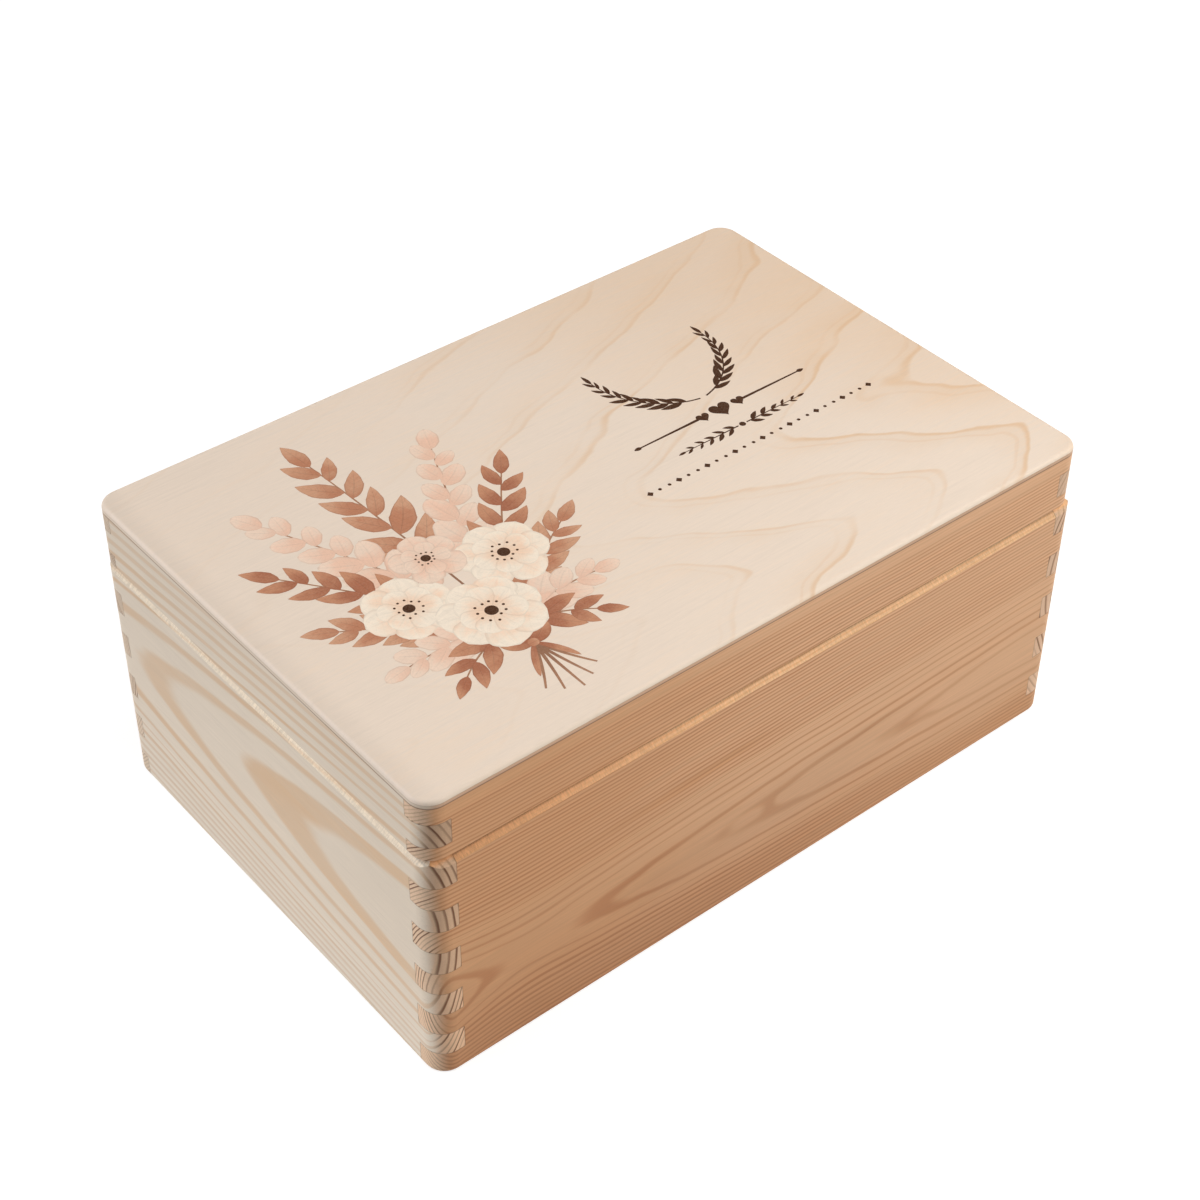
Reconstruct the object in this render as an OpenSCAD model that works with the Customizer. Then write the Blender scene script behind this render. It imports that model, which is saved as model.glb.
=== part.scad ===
// Hinged keepsake box. A finger-jointed pine carcass is glued up, then sawn round to free the lid,
// so box and lid share one inside and one set of corners. A thin plywood panel closes the top and
// another sits in a rabbet under the floor. Two small butt hinges are let into the back rims.
//
// Millimetres, +Z up, front towards -Y. The origin is the centre of the footprint, at the base.

/* [Carcass] */
// Length of the box, left to right
box_l = 300; // [240:1:400]
// Depth of the box, front to back
box_w = 200; // [150:1:300]
// Height of the closed box, lid panel included
box_h = 130; // [110:1:200]
// Thickness of the pine boards
wall = 11; // [10.5:0.5:16]
// Radius of the four upright corners
corner_r = 8; // [3:0.5:10]
// Radius sanded on the lower outer edges
base_edge_r = 1.6; // [0.8:0.1:3]

/* [Finger joints] */
// Height of one finger
finger_h = 10.2; // [7:0.1:14]
// Height of the lowest finger on the lid
lid_first_finger = 5.5; // [4:0.5:9]

/* [Lid] */
// Height of the lid, its panel included
lid_h = 26; // [22:1:45]
// Gap between the closed lid and the rim
lid_gap = 0.3; // [0.2:0.05:0.6]
// How far the lid's outside stands back from the box on each side
lid_setback = 0.7; // [0:0.1:1.5]
// How far the hinges leave the lid to the left of the middle
lid_offset = 0.7; // [0:0.1:0.9]
// Thickness of the plywood lid panel
lid_panel_t = 3; // [2.6:0.1:6]
// Radius on the upper edge of the lid panel
lid_edge_r = 1.8; // [0.6:0.1:2.4]

/* [Rim] */
// Chamfer on the front rim and the rims of the two ends, which makes room for the fingertips
rim_chamfer = 3.5; // [1:0.1:6]

/* [Floor] */
// Thickness of the plywood floor
floor_t = 3; // [2.6:0.1:6]
// How far the floor reaches into each board
rabbet_w = 5; // [3:0.5:7]
// How far the floor stands up from the surface the box rests on
floor_recess = 0.5; // [0.3:0.1:2]
// Radius of the corners of the floor and its rabbet
rabbet_r = 6; // [3:0.5:8]

/* [Hinges] */
// Distance of each hinge's middle from the end of the box
hinge_from_end = 55; // [35:1:100]
// Length of a hinge
hinge_l = 25; // [20:1:40]
// Outside diameter of the hinge barrel
barrel_d = 3.2; // [2.8:0.1:3.6]
// Diameter of the hinge pin
pin_d = 1.4; // [1:0.1:1.8]
// Thickness of a hinge leaf
leaf_t = 1; // [0.8:0.05:1.3]
// Distance of the hinge axis from the back face
axis_inset = 5.6; // [4:0.1:6]
// Slope of the box's back rim, down from level
box_bevel_angle = 45; // [35:1:50]
// Slope of the lid's back edge, up from level
lid_bevel_angle = 55; // [45:1:60]

/* [Screws] */
// Shank diameter of the hinge screws
screw_d = 1.6; // [1.2:0.1:2]
// Head diameter of the hinge screws
screw_head_d = 2.8; // [2.4:0.1:3.2]
// Length of the hinge screws, head included
screw_l = 9; // [6:0.5:11]
// Distance between the two screws of a leaf
screw_spacing = 14; // [9:0.5:15]

/* [Hidden] */
$fn = 64;

// Colours of the woods and the metal
pine_long = [0.76, 0.60, 0.45];
pine_end = [0.81, 0.75, 0.68];
birch = [0.92, 0.85, 0.77];
brass = [0.80, 0.66, 0.36];

// How far a cutter runs past what it cuts
past = 1;
// Room round a pin in its knuckle, a screw in its hole, a leaf or the floor in its recess
fit = 0.05;
// Room between the turning barrel and the wood or leaf beside it
turn_gap = 0.25;
// Gap between neighbouring knuckles
knuckle_gap = 0.2;
// How far each end of a pin stands out of the barrel
pin_end = 0.4;
// Bare wood left between a leaf and the inside of the box
leaf_margin = 0.4;

// Heights and places
rim_z = box_h - lid_h;
lid_z = rim_z + lid_gap;
rail_top_z = box_h - lid_panel_t;
rabbet_h = floor_recess + floor_t;
lid_x = -lid_offset;

// Outlines
inner_l = box_l - 2 * wall;
inner_w = box_w - 2 * wall;
lid_l = box_l - 2 * lid_setback;
lid_w = box_w - 2 * lid_setback;

// Hinges
barrel_r = barrel_d / 2;
pin_r = pin_d / 2;
axis_y = box_w / 2 - axis_inset;
axis_z = rim_z + lid_gap / 2;
hinge_x = box_l / 2 - hinge_from_end;
knuckle_l = (hinge_l - 2 * knuckle_gap) / 3;
leaf_w = axis_y - inner_w / 2 - leaf_margin;
screw_y = -(leaf_w + barrel_r) / 2;
screw_head_h = (screw_head_d - screw_d) / 2;
screw_tip_h = screw_d;
slot_w = screw_head_d / 5;
slot_h = screw_head_h / 2;

// ---- Outlines and edges ----

// A rectangle with round corners
module plan(l, w, r) {
    square([l - 2 * r, w], center = true);
    square([l, w - 2 * r], center = true);
    for (x = [-1, 1], y = [-1, 1])
        translate([x * (l / 2 - r), y * (w / 2 - r)]) circle(r);
}

// What a quarter round of radius r leaves of its square corner
module corner_waste(r)
    difference() {
        square(r + past);
        circle(r);
    }

// Rounds the upper outer edge of a block that has this plan and ends at z = 0
module edge_cutter(l, w, plan_r, edge_r)
    for (turn = [0, 180]) rotate(turn) translate([0, 0, -edge_r]) {
        translate([l / 2 - plan_r, w / 2 - edge_r]) rotate([90, 0, -90])
            linear_extrude(l - 2 * plan_r) mirror([1, 0]) corner_waste(edge_r);
        translate([l / 2 - edge_r, w / 2 - plan_r]) rotate([90, 0, 0])
            linear_extrude(w - 2 * plan_r) corner_waste(edge_r);
        for (side = [0, 1]) mirror([0, side]) translate([l / 2 - plan_r, w / 2 - plan_r])
            rotate_extrude(angle = 90) translate([plan_r - edge_r, 0]) corner_waste(edge_r);
    }

// Takes a chamfer of this size off the upper edge, at z = 0, of the side that faces -Y
module chamfer_cutter(l, y, size)
    translate([-l / 2 - past, y, 0]) rotate([90, 0, 90]) linear_extrude(l + 2 * past)
        polygon([[-past, -size - past], [size + past, past], [-past, past]]);

// Bevels the back edge outwards from the hinge axis, falling at this slope below z = 0
module bevel_cutter(slope)
    translate([-box_l / 2 - past, axis_y, 0]) rotate([90, 0, 90]) linear_extrude(box_l + 2 * past)
        polygon([[0, 0], [axis_inset + past, -(axis_inset + past) * tan(slope)],
            [axis_inset + past, past], [0, past]]);

// ---- Finger joints ----
// Fingers are counted up from the bottom of the piece. The even ones are the long boards' and the
// odd ones the end boards'. The last runs to the top, so none is a thin leftover.

function finger_count(h, first) = floor((h - first) / finger_h + 0.5) + 1;
function finger_low(i, first) = i == 0 ? -past : first + (i - 1) * finger_h;
function finger_high(i, h, first) =
    i == finger_count(h, first) - 1 ? h + past : first + i * finger_h;

// The room that every second finger fills at all four corners, from finger `own` up. `over` runs
// it past the inner faces of the boards it is cut from.
module finger_room(h, first, own, over)
    for (i = [own : 2 : finger_count(h, first) - 1], x = [-1, 1], y = [-1, 1]) {
        low = finger_low(i, first);
        size = [wall + over[0] + past, wall + over[1] + past, finger_high(i, h, first) - low];
        translate([x * (inner_l / 2 - over[0] + size[0] / 2),
            y * (inner_w / 2 - over[1] + size[1] / 2), low + size[2] / 2])
            cube(size, center = true);
    }

// A board at the front (side -1) or the back (side 1) of a carcass with outline l by w
module long_board(side, l, w, h, first)
    intersection() {
        linear_extrude(h) plan(l, w, corner_r);
        difference() {
            translate([-l / 2, side < 0 ? -w / 2 : inner_w / 2, 0]) cube([l, (w - inner_w) / 2, h]);
            finger_room(h, first, 1, [0, past]);
        }
    }

// A board at the left (side -1) or the right (side 1) end of that carcass
module end_board(side, l, w, h, first)
    intersection() {
        linear_extrude(h) plan(l, w, corner_r);
        difference() {
            translate([side < 0 ? -l / 2 : inner_l / 2, -w / 2, 0]) cube([(l - inner_l) / 2, w, h]);
            finger_room(h, first, 0, [past, 0]);
        }
    }

// ---- Hinges and screws ----

// Puts a hinge's pieces, drawn on its axis at the origin, in place at the left (-1) or right (1)
module at_hinge(side) translate([side * hinge_x, axis_y, axis_z]) children();

module rod(r, l) rotate([0, 90, 0]) cylinder(r = r, h = l, center = true);

module at_knuckles(places)
    for (i = places) translate([i * (knuckle_l + knuckle_gap), 0, 0]) children();

// A screw with its head flush with z = 0, grown by `room` to make the hole that it sits in
module screw_form(room) {
    translate([0, 0, -screw_head_h])
        cylinder(r1 = screw_d / 2 + room, r2 = screw_head_d / 2 + room, h = screw_head_h);
    translate([0, 0, screw_tip_h - screw_l]) cylinder(r = screw_d / 2 + room, h = screw_l - screw_tip_h);
    translate([0, 0, -screw_l - room])
        cylinder(r1 = screw_d / 8, r2 = screw_d / 2 + room, h = screw_tip_h + room);
}

module at_screws()
    for (x = [-1, 1]) translate([x * screw_spacing / 2, screw_y, -lid_gap / 2]) children();

module leaf_screws()
    at_screws() difference() {
        screw_form(0);
        cube([slot_w, screw_head_d + past, 2 * slot_h], center = true);
    }

// The lower leaf of a hinge, with knuckles at the places listed and room for the others
module leaf(own, others)
    difference() {
        union() {
            translate([-hinge_l / 2, -leaf_w, -lid_gap / 2 - leaf_t]) cube([hinge_l, leaf_w, leaf_t]);
            at_knuckles(own) rod(barrel_r, knuckle_l);
        }
        at_knuckles(others) rod(barrel_r + turn_gap, knuckle_l + 2 * knuckle_gap);
        rod(pin_r + fit, hinge_l + 2 * past);
        at_screws() screw_form(fit);
    }

module hinge_pin() {
    rod(pin_r, hinge_l + pin_end);
    for (end = [-1, 1]) translate([end * (hinge_l + pin_end) / 2, 0, 0]) rotate([0, end * 90, 0])
        cylinder(r1 = pin_r, r2 = pin_r / 2, h = pin_end / 2);
}

// What is cut out of the lower board for one hinge
module hinge_recess() {
    translate([-hinge_l / 2 - fit, -leaf_w - fit, -lid_gap / 2 - leaf_t])
        cube([hinge_l + 2 * fit, leaf_w + fit, leaf_t + past]);
    rod(barrel_r + turn_gap, hinge_l + 2 * (pin_end + turn_gap));
    at_screws() screw_form(fit);
}

// The upper half of a hinge is the lower half turned over about its axis
module turned_over() mirror([0, 0, 1]) children();

// ---- Box ----

// What is machined into the glued-up box, apart from the recesses for the hinges
module box_machining() {
    mirror([0, 0, 1]) edge_cutter(box_l, box_w, corner_r, base_edge_r);
    translate([0, 0, -past]) linear_extrude(rabbet_h + past)
        plan(inner_l + 2 * rabbet_w, inner_w + 2 * rabbet_w, rabbet_r);
    translate([0, 0, rim_z]) {
        chamfer_cutter(box_l, -box_w / 2, rim_chamfer);
        for (turn = [-90, 90]) rotate(turn) chamfer_cutter(box_w, -box_l / 2, rim_chamfer);
        bevel_cutter(box_bevel_angle);
    }
}

module box_long_board(side)
    difference() {
        long_board(side, box_l, box_w, rim_z, finger_h);
        box_machining();
    }

module box_end_board(side)
    color(pine_end) difference() {
        end_board(side, box_l, box_w, rim_z, finger_h);
        box_machining();
    }

module front_board() color(pine_long) box_long_board(-1);

module back_board()
    color(pine_long) difference() {
        box_long_board(1);
        for (side = [-1, 1]) at_hinge(side) hinge_recess();
    }

module left_board() box_end_board(-1);

module right_board() box_end_board(1);

module floor_panel()
    color(birch) translate([0, 0, floor_recess]) linear_extrude(floor_t)
        plan(inner_l + 2 * (rabbet_w - fit), inner_w + 2 * (rabbet_w - fit), rabbet_r - fit);

// ---- Lid ----

module back_edge_bevel() translate([0, 0, lid_z]) turned_over() bevel_cutter(lid_bevel_angle);

module lid_long_rail(side)
    translate([lid_x, 0, lid_z]) long_board(side, lid_l, lid_w, rail_top_z - lid_z, lid_first_finger);

module lid_end_rail(side)
    color(pine_end) difference() {
        translate([lid_x, 0, lid_z]) end_board(side, lid_l, lid_w, rail_top_z - lid_z, lid_first_finger);
        back_edge_bevel();
    }

module lid_front_rail() color(pine_long) lid_long_rail(-1);

module lid_back_rail()
    color(pine_long) difference() {
        lid_long_rail(1);
        back_edge_bevel();
        for (side = [-1, 1]) at_hinge(side) turned_over() hinge_recess();
    }

module lid_left_rail() lid_end_rail(-1);

module lid_right_rail() lid_end_rail(1);

module lid_panel()
    color(birch) difference() {
        translate([lid_x, 0, rail_top_z]) linear_extrude(lid_panel_t) plan(lid_l, lid_w, corner_r);
        translate([lid_x, 0, box_h]) edge_cutter(lid_l, lid_w, corner_r, lid_edge_r);
    }

// ---- Hinges ----

module box_leaf(side) color(brass) at_hinge(side) leaf([-1, 1], [0]);

module lid_leaf(side) color(brass) at_hinge(side) turned_over() leaf([0], [-1, 1]);

module box_screws(side) color(brass) at_hinge(side) leaf_screws();

module lid_screws(side) color(brass) at_hinge(side) turned_over() leaf_screws();

module left_hinge_box_leaf() box_leaf(-1);
module right_hinge_box_leaf() box_leaf(1);
module left_hinge_lid_leaf() lid_leaf(-1);
module right_hinge_lid_leaf() lid_leaf(1);
module left_hinge_pin() color(brass) at_hinge(-1) hinge_pin();
module right_hinge_pin() color(brass) at_hinge(1) hinge_pin();
module left_hinge_box_screws() box_screws(-1);
module right_hinge_box_screws() box_screws(1);
module left_hinge_lid_screws() lid_screws(-1);
module right_hinge_lid_screws() lid_screws(1);

front_board();
back_board();
left_board();
right_board();
floor_panel();
lid_front_rail();
lid_back_rail();
lid_left_rail();
lid_right_rail();
lid_panel();
left_hinge_box_leaf();
right_hinge_box_leaf();
left_hinge_lid_leaf();
right_hinge_lid_leaf();
left_hinge_pin();
right_hinge_pin();
left_hinge_box_screws();
right_hinge_box_screws();
left_hinge_lid_screws();
right_hinge_lid_screws();
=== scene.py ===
import math
import random

import bmesh
import bpy
from mathutils import Matrix, Vector


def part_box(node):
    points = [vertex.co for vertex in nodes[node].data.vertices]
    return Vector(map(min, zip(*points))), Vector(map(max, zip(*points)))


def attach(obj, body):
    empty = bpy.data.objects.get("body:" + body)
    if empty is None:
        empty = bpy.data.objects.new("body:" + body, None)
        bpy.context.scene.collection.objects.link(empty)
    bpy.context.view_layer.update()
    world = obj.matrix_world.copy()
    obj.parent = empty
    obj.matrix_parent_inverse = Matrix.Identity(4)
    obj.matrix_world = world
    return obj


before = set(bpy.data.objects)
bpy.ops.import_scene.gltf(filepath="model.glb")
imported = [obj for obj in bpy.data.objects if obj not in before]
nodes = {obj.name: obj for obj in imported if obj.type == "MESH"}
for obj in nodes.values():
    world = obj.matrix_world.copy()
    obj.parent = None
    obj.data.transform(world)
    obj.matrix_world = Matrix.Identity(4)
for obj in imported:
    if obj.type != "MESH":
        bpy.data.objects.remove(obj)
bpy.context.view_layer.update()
print("frame loaded:", len(nodes), "CAD pieces")

# Sizes on the box are in millimetres from the middle of its underside. The camera, the lamps and
# the floor are in metres.
mm = 0.001
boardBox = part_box("front_board")
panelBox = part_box("lid_panel")
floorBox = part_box("floor_panel")
halfLength = boardBox[1].x / mm
halfWidth = -boardBox[0].y / mm
innerHalfWidth = -boardBox[1].y / mm
innerHalfLength = -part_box("left_board")[1].x / mm
rimHeight = boardBox[1].z / mm
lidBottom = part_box("lid_front_rail")[0].z / mm
railTop = panelBox[0].z / mm
panelTop = panelBox[1].z / mm
lidMiddle = (panelBox[0].x + panelBox[1].x) / 2 / mm

view = {
    "place": (-0.42461, -0.51457, 0.63552), "lookAt": (0.00336, 0.00218, 0.065),
    "roll": 0.466,                  # degrees, clockwise as the camera sees it
    "lens": 69.56, "sensor": 36,
    "nearest": 0.01,                # closer things don't show
}


def addObject(name, data):
    made = bpy.data.objects.new(name, data)
    bpy.context.scene.collection.objects.link(made)
    return made


cameraData = bpy.data.cameras.new("camera")
cameraData.lens = view["lens"]
cameraData.sensor_width = view["sensor"]
cameraData.clip_start = view["nearest"]
camera = addObject("camera", cameraData)
sight = Vector(view["lookAt"]) - Vector(view["place"])
roll = Matrix.Rotation(math.radians(view["roll"]), 3, "Z")
turned = sight.to_track_quat("-Z", "Y").to_matrix() @ roll
camera.matrix_world = Matrix.Translation(view["place"]) @ turned.to_4x4()
bpy.context.scene.camera = camera


def rgb(red, green, blue):
    # a colour as a paint program shows it, in the renderer's own linear values
    def linear(level):
        level /= 255
        return level / 12.92 if level <= 0.04045 else ((level + 0.055) / 1.055) ** 2.4
    return (linear(red), linear(green), linear(blue), 1)


building = {}                       # the node tree that nodes are added to


def startTree(owner):
    owner.use_nodes = True
    owner.node_tree.nodes.clear()
    building["tree"] = owner.node_tree
    return owner


def add(kind):
    return building["tree"].nodes.new(kind)


def feed(node, inputs):
    # links or sets a node's inputs, by name or number, and gives its first output if it has one
    for key, value in inputs.items():
        if isinstance(value, bpy.types.NodeSocket):
            building["tree"].links.new(value, node.inputs[key])
        else:
            node.inputs[key].default_value = value
    return node.outputs[0] if node.outputs else None


def calc(operation, *values):
    node = add("ShaderNodeMath")
    node.operation = operation
    return feed(node, dict(enumerate(values)))


def total(*values):
    result = values[0]
    for value in values[1:]:
        result = calc("ADD", result, value)
    return result


def product(*values):
    result = values[0]
    for value in values[1:]:
        result = calc("MULTIPLY", result, value)
    return result


def ramp(value, low, high, start=0.0, end=1.0, curve="SMOOTHSTEP"):
    # goes from start to end while the value goes from low to high, and stays level outside them
    node = add("ShaderNodeMapRange")
    node.interpolation_type = curve
    return feed(node, {"Value": value, "From Min": low, "From Max": high,
                       "To Min": start, "To Max": end})


def between(amount, start, end):
    return ramp(amount, 0, 1, start, end, "LINEAR")


def near(value, target, core, fade):
    # 1 where the value is within core of the target, 0 past core + fade
    gap = calc("ABSOLUTE", calc("SUBTRACT", value, target))
    return ramp(gap, core, core + fade, 1, 0)


def vector(x, y, z):
    return feed(add("ShaderNodeCombineXYZ"), {0: x, 1: y, 2: z})


def split(value):
    node = add("ShaderNodeSeparateXYZ")
    feed(node, {0: value})
    return node.outputs[0], node.outputs[1], node.outputs[2]


def scaled(value, amount):
    # a place or a colour times one factor
    node = add("ShaderNodeVectorMath")
    node.operation = "SCALE"
    return feed(node, {0: value, "Scale": amount})


def noise(place, detail, rough):
    return feed(add("ShaderNodeTexNoise"),
                {"Vector": place, "Scale": 1, "Detail": detail, "Roughness": rough})


def figure(place, pattern):
    # stretched noise: repeats per mm each way, detail, roughness, and how far up it is cut
    repeats, detail, rough, level = pattern
    node = add("ShaderNodeVectorMath")
    node.operation = "MULTIPLY_ADD"
    return noise(feed(node, {0: place, 1: repeats, 2: (0, 0, level)}), detail, rough)


def swing(value, size):
    # turns a 0 to 1 noise into one that swings by size to both sides of 0
    return calc("MULTIPLY_ADD", value, 2 * size, -size)


def chance(value):
    node = add("ShaderNodeTexWhiteNoise")
    node.noise_dimensions = "1D"
    return feed(node, {"W": value})


def blend(amount, under, over):
    node = add("ShaderNodeMix")
    node.data_type = "RGBA"
    node.clamp_factor = True
    feed(node, {0: amount, 6: under, 7: over})
    return node.outputs[2]


def placeInMillimetres():
    source = add("ShaderNodeTexCoord")
    return scaled(source.outputs["Object"], 1 / mm), source.outputs["Normal"]


def finishSurface(material, colour, roughness, relief, depth, specular=0.5, metallic=0.0, edge=0.0):
    # edge is the radius that sharp edges look eased by
    bump = add("ShaderNodeBump")
    normal = feed(bump, {"Strength": 1, "Distance": depth * mm, "Height": relief})
    if edge:
        eased = add("ShaderNodeBevel")
        eased.samples = 4
        feed(bump, {"Normal": feed(eased, {"Radius": edge * mm})})
    surface = feed(add("ShaderNodeBsdfPrincipled"),
                   {"Base Color": colour, "Roughness": roughness, "Normal": normal,
                    "Metallic": metallic, "Specular IOR Level": specular})
    feed(add("ShaderNodeOutputMaterial"), {"Surface": surface})
    return material


def dress(nodeName, material):
    materials = nodes[nodeName].data.materials
    materials.clear()
    materials.append(material)


def makeObject(name, bm, material):
    mesh = bpy.data.meshes.new(name)
    bm.to_mesh(mesh)
    bm.free()
    mesh.materials.append(material)
    return addObject(name, mesh)


# Every board is cut from its own log. The rings stand round a pith that lies outside the board's
# outer face, so long grain, end grain and sawn edges all come from the same solid pattern, and it
# runs on across the saw cut between box and lid.

frontLog = {
    # the way the fibres run, and on which side of the box the outer face is
    "fibre": "x", "side": -1,
    # the pith: its distance from the outer face, how that changes along the board, evenly, with
    # the square and with the square of the stretch before one place, and its height
    "pithOut": 30.0, "taper": -0.0275, "bow": 0.5e-4, "swellFrom": -100, "swell": 0.0022,
    "centre": 37.5,
    # the rings: one boundary, their width, from which radius on they get tighter below and above
    # the pith and by how many rings per mm, and how much depth adds to the radius
    "boundary": 33.15, "ring": 2.19, "tightFrom": (32.5, 39), "tighter": (0.22, 0.20),
    "depthGain": 0.25,
    # the least radius, how far rings wander up and down and, as a share of a ring, in and out,
    # and the radius of one brown stripe to the left
    "core": 0, "wobble": 1.8, "ripple": 0.18, "stripe": 48.4,
    # where in its ring a dark band starts at the earliest and the latest, and for a broad and a
    # tight ring how softly it starts and where it begins to fade
    "bandFrom": (0.48, 0.69), "soften": (0.14, 0.28), "bandEnd": (0.76, 0.90),
    # the strength of the weakest band, of a broad ring's, at least of a tight ring's, and of all
    # at the far end
    "faintest": 0.80, "broadStrength": 0.78, "fineStrength": 0.75, "bandFar": 0.72,
    "seed": 6458,
    # long grain: the spring wood, the summer bands, and the deeper tone to the left and low down;
    # their warm orange is partly the wood's own colour and partly painted warm light
    "early": rgb(227, 182, 144), "late": rgb(188, 128, 86), "deep": rgb(214, 164, 122),
    "deepUntil": -115, "deepGone": 30, "deepLow": 0.9, "streaks": 0.12,
    # end grain, and how much duller it gets towards the top
    "endEarly": rgb(228, 196, 166), "endLate": rgb(116, 80, 58), "endDark": 0.26,
    # sawn edges, with a third tone to the left, where and how much they are shaded, and how far
    # inside the lid's edge lies
    "cutEarly": rgb(236, 193, 149), "cutLate": rgb(222, 166, 114), "cutDeep": rgb(226, 167, 118),
    "cutShade": (-150, -80, -0.16), "cutFarShade": -0.06, "groove": 1.5,
    # slow changes: a tint from the bottom up, where along the board it is lost, a darkening at the
    # foot that is partly painted shade, and how much lighter the board is per mm along it and up
    # it, which is partly painted light and partly the wood's own tone
    "low": rgb(188, 128, 86), "lowTint": 0.42, "lowReach": 62, "lowAlong": (-60, 120),
    "lowShade": -0.04, "slope": (-0.0002, 0.0),
    # above one height both grains are plainer, and the end grain also near the bottom
    "plainFrom": 120, "plain": 0.25, "endPlain": 0.35, "endLow": 0.25,
    # the swirl: its place, how far it lifts rings, and how much it fades them and darkens the wood
    "eye": (-10.0, 38.0), "eyeLift": 0.80, "eyeFaint": 0.28, "eyeDull": 0.055,
}
backLog = dict(frontLog, side=1, taper=0.02, bow=-0.6e-4, pithOut=34, centre=58, swell=0.0, seed=5,
               eye=(40.0, 58.0), endEarly=rgb(208, 188, 166))
leftLog = {
    "fibre": "y", "side": -1,
    "pithOut": 64.9, "taper": 0.055, "bow": 0.0, "swellFrom": -1000, "swell": 0.0,
    "centre": 66.5,
    "boundary": 65.7, "ring": 4.0, "tightFrom": (76.5, 75), "tighter": (0.16, 0.06),
    "depthGain": 0.4,
    "core": 62.3, "wobble": 1.6, "ripple": 0.08, "stripe": 0,
    "bandFrom": (0.23, 0.66), "soften": (0.18, 0.18), "bandEnd": (0.86, 0.86),
    "faintest": 0.70, "broadStrength": 1.0, "fineStrength": 0.7, "bandFar": 1.0,
    "seed": 2321,
    # long grain, whose pale greyish tone is partly the wood's own colour and partly painted cool
    # light
    "early": rgb(225, 210, 191), "late": rgb(213, 181, 147), "deep": rgb(220, 205, 186),
    "deepUntil": -100, "deepGone": 0, "deepLow": 0.8, "streaks": 0.06,
    "endEarly": rgb(216, 180, 149), "endLate": rgb(118, 80, 56), "endDark": 0.34,
    "cutEarly": rgb(242, 227, 205), "cutLate": rgb(236, 210, 178), "cutDeep": rgb(242, 227, 205),
    "cutShade": (-100, -84, -0.15), "cutFarShade": 0.0, "groove": 1.2,
    "low": rgb(236, 228, 216), "lowTint": 0.30, "lowReach": 45, "lowAlong": (200, 300),
    "lowShade": 0.0, "slope": (-0.0008, -0.0018),
    "plainFrom": 108, "plain": 0.8, "endPlain": 1.0, "endLow": 1.0,
    "eye": (0.0, 40.0), "eyeLift": 0.0, "eyeFaint": 0.0, "eyeDull": 0.0,
}
rightLog = dict(leftLog, side=1, centre=66, pithOut=44, taper=-0.03, boundary=46, ring=4.2, core=0,
                tightFrom=(62, 62), tighter=(0.1, 0.1), depthGain=0.2, seed=9,
                endEarly=rgb(218, 185, 158), endLate=rgb(146, 108, 82), endDark=0.05)

pine = {
    # noises along the board, into it and up it
    "slow": ((0.010, 0.02, 0.022), 2, 0.5, 0), "fast": ((0.03, 0.08, 0.10), 2, 0.5, 0),
    "fibres": ((0.05, 3.2, 3.2), 3, 0.6, 0), "streaks": ((0.012, 0.9, 0.9), 2, 0.6, 0),
    "ducts": ((0.09, 2.1, 2.1), 1, 0.5, 0), "cloud": ((0.012, 0.04, 0.05), 3, 0.5, 0),
    "scratches": ((1.6, 0.5, 0.5), 3, 0.65, 0), "pores": ((2.6, 2.6, 2.6), 3, 0.7, 0),
    # how much they lighten and darken the wood
    "fibreShade": 0.14, "cloudShade": 0.05, "poreShade": 0.14, "scratchShade": 0.34,
    # the pith's two sides meet over this height, and rings are fine this far into the tight ones
    "sides": 5, "fine": (1, 5),
    # half sizes of the swirl, and of its darker surroundings, which reach further to the right
    "eyeSize": (15, 5), "eyeFade": 25, "eyeField": (50, 40), "eyeHeight": (7, 9), "eyeRight": 10,
    # fine rings' bands, bands on end grain, and where they fade upwards and towards the far end
    "fineStart": 0.40, "fineMost": 0.95, "endBand": (0.50, 0.78), "endFaint": (0.2, 0.8, 0.3),
    "endLow": (8, 42), "fade": (3, 1), "farEnd": 130, "weakPower": 1.6,
    # how far a surface has to face that way to count as end grain or as sawn
    "endFrom": (0.35, 0.90), "sawnFrom": (0.45, 0.62),
    # the deeper tone low down, the stripe, and how uneven tones and bands are
    "deepFoot": 34, "stripeSize": (0.5, 1.6), "stripeEnd": (-40, 20), "deepUneven": 0.5,
    "bandLevel": 0.95, "bandUneven": 0.5, "bandStreaks": 0.3, "lowBands": -0.35,
    "slopeMiddle": 65,
    # sawn edges: the third tone's end, the bands on them, and their scorched fingertips
    "cutDeepEnd": (-150, 10), "cutBands": 0.8, "burntFrom": (0.15, 0.45), "burnt": 0.8,
    "burntDown": (2.8, 1.4, 0.3), "scorch": (rgb(226, 162, 106), rgb(246, 190, 134)),
    "leftToRight": (-100, 100),
    # dull end grain, painted shade on the corners, a darker far end, and the painted shadow in a
    # line under the lid's edge
    "dull": (20, 120, 0.5, -0.5), "corner": (0.03, 0.15), "cornerPaintedShade": (-0.25, -0.05),
    "cutFar": (70, 110), "grooveLine": (0.9, 0.5, 0.5), "grooveShade": -0.30,
    "grooveUntil": (0.85, 0.97),
    # resin ducts
    "duct": rgb(120, 84, 56), "ductFrom": (0.70, 0.78), "ductTint": 0.16,
    # joints: finger height, the lid's first finger, and the lines where pieces meet
    "finger": 10.2, "lidFirst": 5.5, "line": 0.1, "panelLine": (0.08, 0.22),
    "seam": rgb(96, 64, 42), "seamTint": 0.40,
    # relief of bands, fibres, saw marks, pores and joints, its depth in mm, and the sheen
    "bandRelief": 0.08, "fibreRelief": 0.5, "sawRelief": 0.8, "poreRelief": 0.6,
    "seamRelief": -0.6, "depth": 0.06, "specular": 0.35,
    "roughness": 0.60, "fibreRough": 0.08, "endRough": 0.14, "sawnRough": 0.10,
}


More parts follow.
